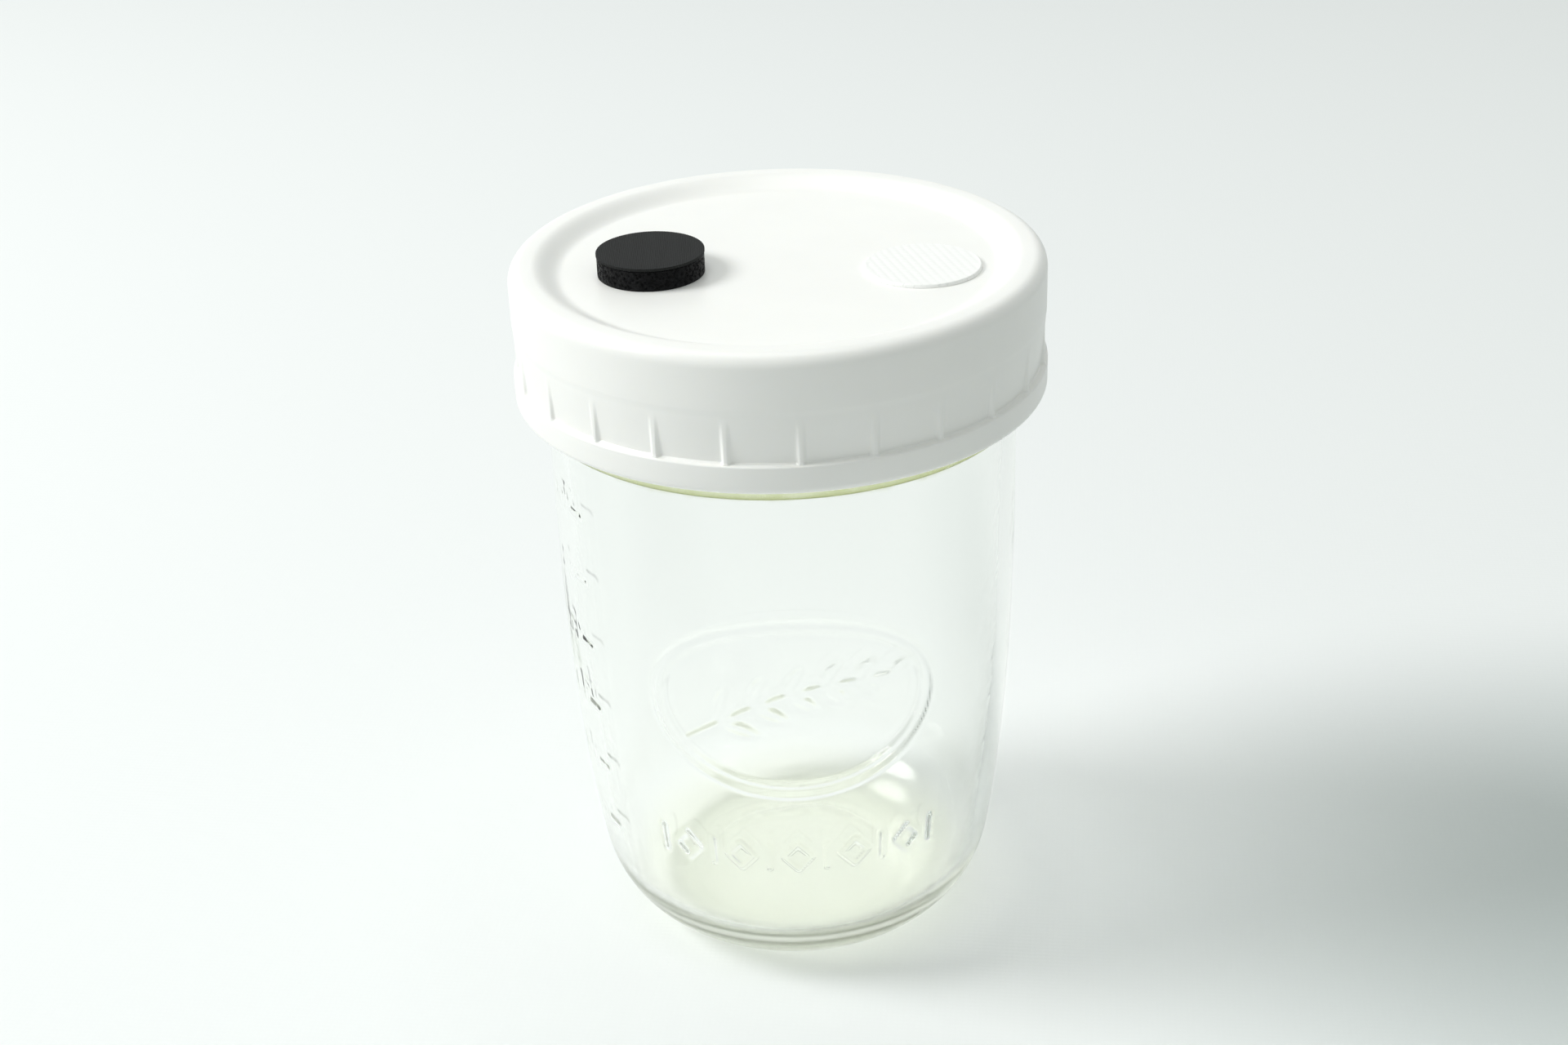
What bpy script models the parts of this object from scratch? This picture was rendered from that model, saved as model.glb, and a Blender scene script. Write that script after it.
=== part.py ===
"""Mushroom culture jar: a wide-mouth glass jar with a ribbed plastic screw cap.

A silicone seal lies between the cap and the rim of the jar. The top of the cap has two holes,
one under a foam injection port and one under a breathing filter disc.
Metres, +Z up. The origin is the centre of the base, and the front of the jar faces -Y.
"""
from math import atan, cos, pi, radians, sin, tan

import bmesh
import bpy
from mathutils import Matrix, Vector

# Room between pieces that lie on each other
SEAT_GAP = 0.0003
LAYER_GAP = 0.00015

# Glass jar: height and mouth
JAR_HEIGHT = 0.1228
NECK_STEP = 0.0001
NECK_WALL = 0.0031
RIM_ROUNDING = 0.0009
BEAD_DEPTH = 0.0021
BEAD_HEIGHT = 0.0030

# Glass jar: tapering body and base
BODY_RADIUS = 0.0413
BODY_TAPER = 0.0044
BODY_WALL = 0.0028
SHOULDER_HEIGHT = 0.0030
FOOT_LEAN = radians(9.0)
HEEL_WIDTH = 0.0155
HEEL_HEIGHT = 0.0195
INNER_HEEL = 0.0120
BEARING_WIDTH = 0.0025
PUSH_UP = 0.0022
FLOOR_THICKNESS = 0.0050

# Seal between the rim and the cap
SEAL_THICKNESS = 0.0015
SEAL_WIDTH = 0.0058
SEAL_ROUNDING = 0.0004

# Screw cap, with a raised rim around a flat panel
THREAD_ROOM = 0.0025
CAP_WALL = 0.0025
CAP_HEIGHT = 0.0239
CAP_TOP_THICKNESS = 0.0020
CAP_RIM_WIDTH = 0.0074
CAP_RIM_RISE = 0.0021
CAP_RIM_STEP = 0.0014
CAP_STEP_WIDTH = 0.0017
CAP_EDGE_ROUNDING = 0.0034
FLANGE_HEIGHT = 0.0051
FLANGE_STEP = 0.00035
FLANGE_LEDGE_DROP = 0.0007
FLANGE_ROUNDING = 0.0013
SKIRT_LIP = 0.0006
SEAL_KEEPER_WIDTH = 0.0009
SEAL_KEEPER_HEIGHT = 0.0024

# Finger grip: flat panels that deepen towards the flange, with a ridge between each two
RIDGE_COUNT = 24
RIDGE_CREST = 0.0005
RIDGE_FLANK = radians(52.0)
FIRST_RIDGE = radians(-86.0)
GRIP_HEIGHT = 0.0092
GRIP_DEPTH = 0.0011
GRIP_OVERRUN = 0.0005
GRIP_CUTTER_MARGIN = 0.00015

# Injection port on the cap
PORT_RADIUS = 0.0092
PORT_ANGLE = radians(186.9)
PORT_MARGIN = 0.0079
PORT_HOLE_RADIUS = 0.0035
PORT_SPONGE_THICKNESS = 0.0030
PORT_SPONGE_ROUNDING = 0.0004
PORT_SKIN_THICKNESS = 0.0005
PORT_SKIN_ROUNDING = 0.00025
PORT_SKIN_OVERHANG = 0.0001

# Filter disc on the cap
FILTER_RADIUS = 0.0101
FILTER_ANGLE = radians(-10.6)
FILTER_MARGIN = 0.0035
FILTER_HOLE_RADIUS = 0.0050
FILTER_THICKNESS = 0.0003
FILTER_ROUNDING = 0.0001

# Drills for the holes in the cap
DRILL_DEPTH = 0.0080

# Adhesive rings under the port and the filter
ADHESIVE_THICKNESS = 0.00015
ADHESIVE_INSET = 0.0003
ADHESIVE_HOLE_MARGIN = 0.0008

# Facets of the turned shapes and of the curves in their sections
JAR_STEPS = 64
CAP_STEPS = 96
DISC_STEPS = 40
WALL_FACETS = 5
HEEL_FACETS = 8
INNER_HEEL_FACETS = 6
DOME_FACETS = 3
BEAD_FACETS = 6
RIM_FACETS = 3
CROWN_FACETS = 3
CAP_EDGE_FACETS = 5

# Places that follow from the sizes, with heights above the base
NECK_RADIUS = BODY_RADIUS - NECK_STEP
SEAL_SEAT = JAR_HEIGHT + SEAT_GAP
CAP_UNDERSIDE = SEAL_SEAT + SEAL_THICKNESS + SEAT_GAP
CAP_PANEL = CAP_UNDERSIDE + CAP_TOP_THICKNESS
CAP_CROWN = CAP_PANEL + CAP_RIM_RISE
CAP_FOOT = CAP_CROWN - CAP_HEIGHT
CAP_BORE_RADIUS = NECK_RADIUS + THREAD_ROOM
CAP_RADIUS = CAP_BORE_RADIUS + CAP_WALL
CAP_PANEL_RADIUS = CAP_RADIUS - CAP_RIM_WIDTH
MOUTH_RADIUS = NECK_RADIUS - NECK_WALL
BEAD_TOP = CAP_FOOT
BODY_TOP = BEAD_TOP - BEAD_HEIGHT - SHOULDER_HEIGHT
SEAL_OUTER_RADIUS = CAP_BORE_RADIUS - SEAT_GAP
SEAL_INNER_RADIUS = SEAL_OUTER_RADIUS - SEAL_WIDTH
PORT_OFFSET = CAP_PANEL_RADIUS - PORT_MARGIN - PORT_RADIUS
FILTER_OFFSET = CAP_PANEL_RADIUS - FILTER_MARGIN - FILTER_RADIUS


def arc(centre, radii, start, end, steps):
    """Points (r, z) along an elliptical arc, both ends included; angles from +r towards +z."""
    angles = [start + (end - start) * i / steps for i in range(steps + 1)]
    return [(centre[0] + radii[0] * cos(a), centre[1] + radii[1] * sin(a)) for a in angles]


def rounded_ring_profile(inner, outer, bottom, top, rounding, steps=1):
    """Closed section of a ring with rounded edges, from its outer top corner downwards."""
    r = rounding
    corners = [((outer - r, top - r), pi / 2, 0), ((outer - r, bottom + r), 0, -pi / 2),
               ((inner + r, bottom + r), -pi / 2, -pi), ((inner + r, top - r), pi, pi / 2)]
    points = []
    for centre, start, end in corners:
        points += arc(centre, (r, r), start, end, steps)
    return points


def disc_profile(radius, thickness, rounding, steps=2):
    """Half-section of a disc that stands on z = 0, from the top of its axis downwards."""
    edge = arc((radius - rounding, thickness - rounding), (rounding, rounding), pi / 2, 0, steps)
    return [(0, thickness)] + edge + [(radius, 0), (0, 0)]


def new_collection(name):
    collection = bpy.data.collections.new(name)
    bpy.context.scene.collection.children.link(collection)
    return collection


def new_material(name, colour, roughness, metallic=0.0, transmission=0.0):
    material = bpy.data.materials.new(name)
    material.use_nodes = True
    shader = material.node_tree.nodes["Principled BSDF"]
    shader.inputs["Base Color"].default_value = (*colour, 1.0)
    shader.inputs["Roughness"].default_value = roughness
    shader.inputs["Metallic"].default_value = metallic
    shader.inputs["Transmission Weight"].default_value = transmission
    material.diffuse_color = (*colour, 1.0)
    return material


def turned(name, profile, steps, collection, closed=False):
    """Object turned about its own Z axis from a profile of (r, z) points."""
    section = bmesh.new()
    verts = [section.verts.new((r, 0, z)) for r, z in profile]
    for a, b in zip(verts, verts[1:]):
        section.edges.new((a, b))
    if closed:
        section.edges.new((verts[-1], verts[0]))
    mesh = bpy.data.meshes.new(name)
    section.to_mesh(mesh)
    section.free()
    piece = bpy.data.objects.new(name, mesh)
    collection.objects.link(piece)
    screw = piece.modifiers.new("Turn", "SCREW")
    screw.axis = "Z"
    screw.steps = steps
    screw.render_steps = steps
    screw.use_smooth_shade = True
    screw.use_merge_vertices = True
    screw.merge_threshold = 0.00001
    return piece


def cut(piece, cutter):
    boolean = piece.modifiers.new("Cut " + cutter.name, "BOOLEAN")
    boolean.operation = "DIFFERENCE"
    boolean.solver = "EXACT"
    boolean.object = cutter


def hide_cutter(cutter):
    cutter.hide_render = True
    cutter.display_type = "WIRE"


def drill(name, radius, place, collection):
    """Cylindrical cutter centred on a place."""
    hole = bmesh.new()
    bmesh.ops.create_cone(hole, cap_ends=True, segments=DISC_STEPS, radius1=radius, radius2=radius,
                          depth=DRILL_DEPTH)
    mesh = bpy.data.meshes.new(name)
    hole.to_mesh(mesh)
    hole.free()
    cutter = bpy.data.objects.new(name, mesh)
    cutter.location = place
    collection.objects.link(cutter)
    hide_cutter(cutter)
    return cutter


def finish(piece, material, sharp_angle=radians(32)):
    """Apply the modifiers, shade round faces smooth and give the piece its material."""
    bpy.context.view_layer.update()
    shape = piece.evaluated_get(bpy.context.evaluated_depsgraph_get())
    mesh = bpy.data.meshes.new_from_object(shape)
    mesh.name = piece.name
    piece.modifiers.clear()
    piece.data = mesh
    mesh.shade_smooth()
    mesh.set_sharp_from_angle(angle=sharp_angle)
    mesh.materials.clear()
    mesh.materials.append(material)


def body_wall_radius(z, foot_z):
    """Outer radius of the tapering body, which leans in by FOOT_LEAN where it meets the heel."""
    span = BODY_TOP - foot_z
    power = tan(FOOT_LEAN) * span / BODY_TAPER
    return BODY_RADIUS - BODY_TAPER * (max(BODY_TOP - z, 0) / span) ** power


def heel(foot_radius, foot_angle, width, height, base_z, steps):
    """Arc from the foot of a leaning wall down to a level floor."""
    centre = (foot_radius - width * cos(foot_angle), base_z + height)
    return arc(centre, (width, height), foot_angle, -pi / 2, steps)


def dome_points(radius, base_z):
    """Points of the low dome in the middle of the base, from its axis outwards."""
    steps = [k / DOME_FACETS for k in range(DOME_FACETS + 1)]
    return [(radius * t, base_z + PUSH_UP * (1 - t ** 2)) for t in steps]


def jar_profile():
    """Half-section of the jar: floor, inner wall, rim, neck, bead, body, heel and push-up."""
    outer_angle = -atan(HEEL_HEIGHT / HEEL_WIDTH * tan(FOOT_LEAN))
    foot_z = HEEL_HEIGHT * (1 + sin(outer_angle))
    outer_heel = heel(BODY_RADIUS - BODY_TAPER, outer_angle, HEEL_WIDTH, HEEL_HEIGHT, 0, HEEL_FACETS)

    floor_z = FLOOR_THICKNESS
    inner_foot_z = floor_z + INNER_HEEL * (1 - sin(FOOT_LEAN))
    inner_foot_radius = body_wall_radius(inner_foot_z, foot_z) - BODY_WALL
    inner_heel = heel(inner_foot_radius, -FOOT_LEAN, INNER_HEEL, INNER_HEEL, floor_z, INNER_HEEL_FACETS)
    inner_heel.reverse()
    dome = dome_points(inner_heel[0][0], floor_z)[:-1]

    inner_wall = []
    for k in range(1, WALL_FACETS + 1):
        z = inner_foot_z + (BODY_TOP - inner_foot_z) * k / WALL_FACETS
        inner_wall.append((body_wall_radius(z, foot_z) - BODY_WALL, z))
    outer_wall = []
    for k in range(WALL_FACETS):
        z = BODY_TOP + (foot_z - BODY_TOP) * k / WALL_FACETS
        outer_wall.append((body_wall_radius(z, foot_z), z))

    rim = RIM_ROUNDING
    rim_inside = arc((MOUTH_RADIUS + rim, JAR_HEIGHT - rim), (rim, rim), pi, pi / 2, RIM_FACETS)
    rim_outside = arc((NECK_RADIUS - rim, JAR_HEIGHT - rim), (rim, rim), pi / 2, 0, RIM_FACETS)
    bead_z = BEAD_TOP - BEAD_HEIGHT / 2
    bead = arc((NECK_RADIUS, bead_z), (BEAD_DEPTH, BEAD_HEIGHT / 2), pi / 2, -pi / 2, BEAD_FACETS)

    push_up = dome_points(outer_heel[-1][0] - BEARING_WIDTH, 0)[::-1]
    return (dome + inner_heel + inner_wall + [(MOUTH_RADIUS, bead_z)] + rim_inside + rim_outside
            + bead + outer_wall + outer_heel + push_up)


def cap_profile():
    """Half-section of the cap, from the middle of its top, over the rim and down the outside."""
    edge = CAP_EDGE_ROUNDING
    crown_radius = CAP_RADIUS - edge
    step = (CAP_PANEL_RADIUS + CAP_STEP_WIDTH, CAP_PANEL + CAP_RIM_STEP)
    crown_rise = (crown_radius - step[0], CAP_CROWN - step[1])
    crown_inside = arc((crown_radius, step[1]), crown_rise, pi, pi / 2, CROWN_FACETS)
    crown_outside = arc((crown_radius, CAP_CROWN - edge), (edge, edge), pi / 2, 0, CAP_EDGE_FACETS)[1:]
    flange_top = CAP_FOOT + FLANGE_HEIGHT
    flange_radius = CAP_RADIUS + FLANGE_STEP
    flange_foot = arc((flange_radius - FLANGE_ROUNDING, CAP_FOOT + FLANGE_ROUNDING),
                      (FLANGE_ROUNDING, FLANGE_ROUNDING), 0, -pi / 2, 3)
    bore = CAP_BORE_RADIUS
    keeper_outside = SEAL_INNER_RADIUS - SEAT_GAP
    keeper_foot = CAP_UNDERSIDE - SEAL_KEEPER_HEIGHT
    return ([(0, CAP_PANEL), (CAP_PANEL_RADIUS, CAP_PANEL)] + crown_inside + crown_outside
            + [(CAP_RADIUS, flange_top + FLANGE_LEDGE_DROP), (flange_radius, flange_top)] + flange_foot
            + [(bore + SKIRT_LIP, CAP_FOOT), (bore, CAP_FOOT + SKIRT_LIP), (bore, CAP_UNDERSIDE),
               (keeper_outside, CAP_UNDERSIDE), (keeper_outside, keeper_foot),
               (keeper_outside - SEAL_KEEPER_WIDTH, keeper_foot),
               (keeper_outside - SEAL_KEEPER_WIDTH, CAP_UNDERSIDE), (0, CAP_UNDERSIDE)])


def grip_panel(angle):
    """Corners of one wedge that cuts a flat grip panel, deepest at the flange."""
    half_pitch = CAP_RADIUS * tan(pi / RIDGE_COUNT) - RIDGE_CREST / 2
    foot = CAP_FOOT + FLANGE_HEIGHT
    slope = GRIP_DEPTH / GRIP_HEIGHT
    head = foot + GRIP_HEIGHT + GRIP_OVERRUN
    turn = Matrix.Rotation(angle, 4, "Z")
    corners = []
    for z, inner in ((foot, CAP_RADIUS - GRIP_DEPTH), (head, CAP_RADIUS + slope * GRIP_OVERRUN)):
        for x in (inner, CAP_RADIUS + GRIP_CUTTER_MARGIN):
            half_width = half_pitch + (x - CAP_RADIUS) * tan(RIDGE_FLANK)
            corners += [turn @ Vector((x, -half_width, z)), turn @ Vector((x, half_width, z))]
    return corners


def grip_cutter(collection):
    """All the grip panels as one cutter."""
    panels = bmesh.new()
    for k in range(RIDGE_COUNT):
        angle = FIRST_RIDGE + (k + 0.5) * 2 * pi / RIDGE_COUNT
        corners = [panels.verts.new(p) for p in grip_panel(angle)]
        bmesh.ops.convex_hull(panels, input=corners)
    mesh = bpy.data.meshes.new("grip_cutter")
    panels.to_mesh(mesh)
    panels.free()
    cutter = bpy.data.objects.new("grip_cutter", mesh)
    collection.objects.link(cutter)
    hide_cutter(cutter)
    return cutter


def on_cap(offset, angle, z):
    """Place on the cap at a distance and direction from its axis."""
    return Vector((offset * cos(angle), offset * sin(angle), z))


def make_jar(parts):
    jar = turned("glass_jar", jar_profile(), JAR_STEPS, parts)
    finish(jar, new_material("clear_glass", (0.86, 0.93, 0.88), 0.03, transmission=1.0))


def make_seal(parts):
    profile = rounded_ring_profile(SEAL_INNER_RADIUS, SEAL_OUTER_RADIUS, 0, SEAL_THICKNESS, SEAL_ROUNDING)
    seal = turned("lid_gasket", profile, JAR_STEPS, parts, closed=True)
    seal.location = (0, 0, SEAL_SEAT)
    finish(seal, new_material("white_silicone", (0.82, 0.83, 0.80), 0.45))


def make_cap(parts, cutters):
    cap = turned("screw_cap", cap_profile(), CAP_STEPS, parts)
    cut(cap, grip_cutter(cutters))
    middle = CAP_UNDERSIDE + CAP_TOP_THICKNESS / 2
    port_place = on_cap(PORT_OFFSET, PORT_ANGLE, middle)
    cut(cap, drill("port_drill", PORT_HOLE_RADIUS, port_place, cutters))
    filter_place = on_cap(FILTER_OFFSET, FILTER_ANGLE, middle)
    cut(cap, drill("filter_drill", FILTER_HOLE_RADIUS, filter_place, cutters))
    finish(cap, new_material("white_polypropylene", (0.88, 0.89, 0.87), 0.38))
    return cap


def make_adhesive(name, radius, hole_radius, place, material, parts):
    outer = radius - ADHESIVE_INSET
    profile = [(outer, ADHESIVE_THICKNESS), (outer, 0), (hole_radius, 0), (hole_radius, ADHESIVE_THICKNESS)]
    ring = turned(name, profile, DISC_STEPS, parts, closed=True)
    ring.location = place
    finish(ring, material)
    return ring


def make_port(parts):
    """Foam injection port: an adhesive ring, a thick sponge and a woven skin, stacked."""
    place = on_cap(PORT_OFFSET, PORT_ANGLE, CAP_PANEL + LAYER_GAP)
    film = new_material("port_adhesive_film", (0.62, 0.60, 0.52), 0.5)
    hole = PORT_HOLE_RADIUS + ADHESIVE_HOLE_MARGIN
    adhesive = make_adhesive("port_adhesive", PORT_RADIUS, hole, place, film, parts)

    place = place + Vector((0, 0, ADHESIVE_THICKNESS + LAYER_GAP))
    profile = disc_profile(PORT_RADIUS, PORT_SPONGE_THICKNESS, PORT_SPONGE_ROUNDING)
    sponge = turned("port_sponge", profile, DISC_STEPS, parts)
    sponge.location = place
    finish(sponge, new_material("black_foam", (0.020, 0.020, 0.021), 0.9))

    place = place + Vector((0, 0, PORT_SPONGE_THICKNESS + LAYER_GAP))
    profile = disc_profile(PORT_RADIUS + PORT_SKIN_OVERHANG, PORT_SKIN_THICKNESS, PORT_SKIN_ROUNDING)
    skin = turned("port_skin", profile, DISC_STEPS, parts)
    skin.location = place
    finish(skin, new_material("black_woven_skin", (0.045, 0.045, 0.047), 0.8))
    return [adhesive, sponge, skin]


def make_filter(parts):
    """Breathing filter: a thin embossed membrane on an adhesive ring."""
    place = on_cap(FILTER_OFFSET, FILTER_ANGLE, CAP_PANEL + LAYER_GAP)
    film = new_material("filter_adhesive_film", (0.80, 0.80, 0.76), 0.5)
    hole = FILTER_HOLE_RADIUS + ADHESIVE_HOLE_MARGIN
    adhesive = make_adhesive("filter_adhesive", FILTER_RADIUS, hole, place, film, parts)

    place = place + Vector((0, 0, ADHESIVE_THICKNESS + LAYER_GAP))
    profile = disc_profile(FILTER_RADIUS, FILTER_THICKNESS, FILTER_ROUNDING)
    membrane = turned("filter_membrane", profile, DISC_STEPS, parts)
    membrane.location = place
    finish(membrane, new_material("white_membrane", (0.90, 0.91, 0.90), 0.7))
    return [adhesive, membrane]


def main():
    for old in list(bpy.data.objects):
        bpy.data.objects.remove(old, do_unlink=True)
    parts = new_collection("mushroom_culture_jar")
    cutters = new_collection("cutters")

    make_jar(parts)
    make_seal(parts)
    cap = make_cap(parts, cutters)

    cap_axis = bpy.data.objects.new("cap_axis", None)
    cap_axis.empty_display_size = NECK_RADIUS
    parts.objects.link(cap_axis)
    for piece in [cap] + make_port(parts) + make_filter(parts):
        piece.parent = cap_axis


main()
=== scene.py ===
"""Mushroom culture jar: the visible shapes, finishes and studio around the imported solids.

A pressed glass jar with a raised sprig and measuring marks, a ribbed screw cap with its thread, a
silicone seal, a foam injection port with a woven skin and a pressed breathing filter.
Shapes are worked out in millimetres and made in metres, +Z up, with the front of the jar at -Y.
"""

from math import atan, cos, pi, radians, sin, tan

import bmesh
import bpy
import numpy as np
from bpy.props import FloatProperty, FloatVectorProperty, IntProperty, PointerProperty
from bpy.types import Operator, Panel, PropertyGroup
from mathutils import Matrix, Vector


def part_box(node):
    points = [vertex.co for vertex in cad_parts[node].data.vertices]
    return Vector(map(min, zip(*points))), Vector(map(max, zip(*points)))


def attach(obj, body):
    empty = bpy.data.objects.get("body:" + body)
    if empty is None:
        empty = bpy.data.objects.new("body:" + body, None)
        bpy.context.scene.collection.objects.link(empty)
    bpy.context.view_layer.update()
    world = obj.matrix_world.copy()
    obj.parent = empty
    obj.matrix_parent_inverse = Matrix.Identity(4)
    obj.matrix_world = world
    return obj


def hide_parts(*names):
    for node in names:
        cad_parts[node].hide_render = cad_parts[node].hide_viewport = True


bl_info = {
    "name": "Mushroom culture jar",
    "version": (1, 0, 0),
    "blender": (4, 5, 0),
    "location": "View3D > Sidebar > Culture jar",
    "description": "Builds a culture jar with its screw cap, port and filter, and a small studio",
    "category": "Add Mesh",
}

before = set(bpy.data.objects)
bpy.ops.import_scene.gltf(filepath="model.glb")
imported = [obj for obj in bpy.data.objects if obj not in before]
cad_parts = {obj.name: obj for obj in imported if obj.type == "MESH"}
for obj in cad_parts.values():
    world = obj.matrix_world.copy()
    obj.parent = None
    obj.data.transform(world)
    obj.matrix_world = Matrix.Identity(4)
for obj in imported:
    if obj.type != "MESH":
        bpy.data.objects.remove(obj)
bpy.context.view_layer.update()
MM = 0.001

# Jar, in millimetres
JAR_TOP = 122.8
NECK_RADIUS = 41.2
MOUTH_RADIUS = 38.1
RIM_ROUNDING = 0.9
BEAD_TOP = 105.1
BEAD_HEIGHT = 3.0
BEAD_DEPTH = 2.1
BODY_TOP = 99.1
BODY_RADIUS = 41.3
BODY_TAPER = 4.4
BODY_WALL = 2.8
FOOT_LEAN = radians(9.0)
HEEL_WIDTH = 15.5
HEEL_HEIGHT = 19.5
INNER_HEEL = 12.0
FLOOR = 5.0
PUSH_UP = 2.2
BEARING_WIDTH = 2.5
HEEL_ANGLE = -atan(HEEL_HEIGHT / HEEL_WIDTH * tan(FOOT_LEAN))
HEEL_TOP = HEEL_HEIGHT * (1 + sin(HEEL_ANGLE))
BODY_SPAN = BODY_TOP - HEEL_TOP
BODY_POWER = tan(FOOT_LEAN) * BODY_SPAN / BODY_TAPER
RELIEF_TOP = 93.0
RELIEF_FOOT = 22.0
STIPPLE_DEPTH = 0.08
STIPPLES = 90

# Thread of the neck and the cap, in millimetres
THREAD_FOOT = 109.6
NECK_THREAD_START, NECK_THREAD_TURNS, NECK_THREAD_WIDTH = radians(200), 1.35, 2.7
CAP_THREAD_START, CAP_THREAD_TURNS, CAP_THREAD_WIDTH = radians(20), 1.2, 2.4

# Cap, in millimetres
CAP_FOOT = 105.1
CAP_RADIUS = 46.2
CAP_BORE = 43.7
CAP_UNDERSIDE = 124.9
CAP_PANEL = 126.9
CAP_PANEL_RADIUS = 37.0
CAP_PANEL_EDGE = 36.6
CAP_UNDERSIDE_EDGE = 35.9
CAP_CROWN = 129.0
CAP_CROWN_INSIDE = 42.2
CAP_EDGE_ROUNDING = 2.4
FLANGE_TOP = 110.2
FLANGE_RADIUS = 46.55
FLANGE_ROUNDING = 1.3
SEAL_WIDTH = 5.8
SEAL_GROOVE = 0.22
KEEPER_OUTSIDE = 37.3
KEEPER_INSIDE = 36.4
KEEPER_FOOT = 122.5
RIDGE_COUNT = 24
FIRST_RIDGE = radians(-86.6)
RIDGE_CREST = 0.45
RIDGE_FLANK = 0.7
GRIP_HEIGHT = 9.2
GRIP_DEPTH = 0.8
GRIP_STEP = 0.14
GRIP_FILLET = 0.35

# Port and filter on the cap, in millimetres
STICKER_GAP = 0.03
SIDE_CLEARANCE = 0.04
PORT_PLACE = Vector((-21.54, -2.61))
PORT_HOLE = 3.5
PORE_SIZES = (0.16, 0.36)
RIB_PITCH = 0.31
RIB_DEPTH = 0.06
KNOT_PITCH = 0.93
FILTER_PLACE = Vector((24.77, -4.64))
FILTER_HOLE = 5.0
FILTER_SINK = 0.1
FILTER_BEVEL = 0.24
FILTER_TURN = radians(15.5)
CORD_PITCH = 1.37
CROSS_PITCH = 1.45
CORD_DEPTH = 0.045

# Zones of a section, which say how the surface turned from it is shaped
PLAIN, INSIDE, NECK, BODY, BEARING, GRIP, BORE = range(7)


class JarSizes(PropertyGroup):
    emboss_height: FloatProperty(
        name="Relief height", description="How far the raised marks stand out of the glass",
        default=0.00038, unit="LENGTH", subtype="DISTANCE")
    glass_wave: FloatProperty(
        name="Glass waviness", description="Unevenness of the pressed inner wall",
        default=0.00007, unit="LENGTH", subtype="DISTANCE")
    thread_pitch: FloatProperty(
        name="Thread pitch", description="Rise of the thread in one turn",
        default=0.00635, unit="LENGTH", subtype="DISTANCE")
    thread_depth: FloatProperty(
        name="Thread depth", description="Height of the thread on the neck and in the cap",
        default=0.00145, unit="LENGTH", subtype="DISTANCE")
    pore_depth: FloatProperty(
        name="Pore depth", description="Depth of the open pores in the foam's side",
        default=0.00030, unit="LENGTH", subtype="DISTANCE")
    pore_count: IntProperty(
        name="Pores", description="Number of open pores in the foam's side", default=620)


class JarFinishes(PropertyGroup):
    glass: FloatVectorProperty(
        name="Glass", description="Tint of the glass", subtype="COLOR", default=(0.99, 0.995, 0.988))
    glass_depth: FloatVectorProperty(
        name="Thick glass", description="Tint that light takes on in thick glass", subtype="COLOR",
        default=(0.62, 0.74, 0.30))
    cap: FloatVectorProperty(
        name="Cap", description="Polypropylene of the cap", subtype="COLOR", default=(0.885, 0.886, 0.857))
    seal: FloatVectorProperty(
        name="Seal", description="Silicone of the seal", subtype="COLOR", default=(0.80, 0.81, 0.78))
    foam: FloatVectorProperty(
        name="Foam", description="Foam rubber of the port", subtype="COLOR",
        default=(0.0078, 0.0079, 0.0088))
    skin: FloatVectorProperty(
        name="Port skin", description="Woven top of the port", subtype="COLOR",
        default=(0.0095, 0.0106, 0.0103))
    filter: FloatVectorProperty(
        name="Filter", description="Membrane of the filter", subtype="COLOR", default=(0.82, 0.825, 0.807))
    floor: FloatVectorProperty(
        name="Floor", description="Studio floor", subtype="COLOR", default=(0.83, 0.85, 0.845))
    lamp_power: FloatProperty(
        name="Window light", description="Power of the large lamp on the left", default=31.6, unit="POWER")
    ceiling_power: FloatProperty(
        name="Ceiling light", description="Power of the soft lamp overhead", default=8.0, unit="POWER")


def sizes():
    return bpy.context.scene.culture_jar_sizes


def finishes():
    return bpy.context.scene.culture_jar_finishes


# Sections

def arc(centre, radii, start, end, steps):
    """Points (r, z) along an elliptical arc, both ends included."""
    angles = [start + (end - start) * i / steps for i in range(steps + 1)]
    return [(centre[0] + radii[0] * cos(a), centre[1] + radii[1] * sin(a)) for a in angles]


def run(start, end, step):
    """Points (r, z) along a straight line, without its two ends."""
    length = ((end[0] - start[0]) ** 2 + (end[1] - start[1]) ** 2) ** 0.5
    count = max(1, round(length / step))
    return [(start[0] + (end[0] - start[0]) * k / count, start[1] + (end[1] - start[1]) * k / count)
            for k in range(1, count)]


def zoned(points, zone):
    return [(r, z, zone) for r, z in points]


def body_radius(z):
    return BODY_RADIUS - BODY_TAPER * (max(BODY_TOP - z, 0) / BODY_SPAN) ** BODY_POWER


def heights(top, bottom, step):
    count = round((top - bottom) / step)
    return [top + (bottom - top) * k / count for k in range(count + 1)]


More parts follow.
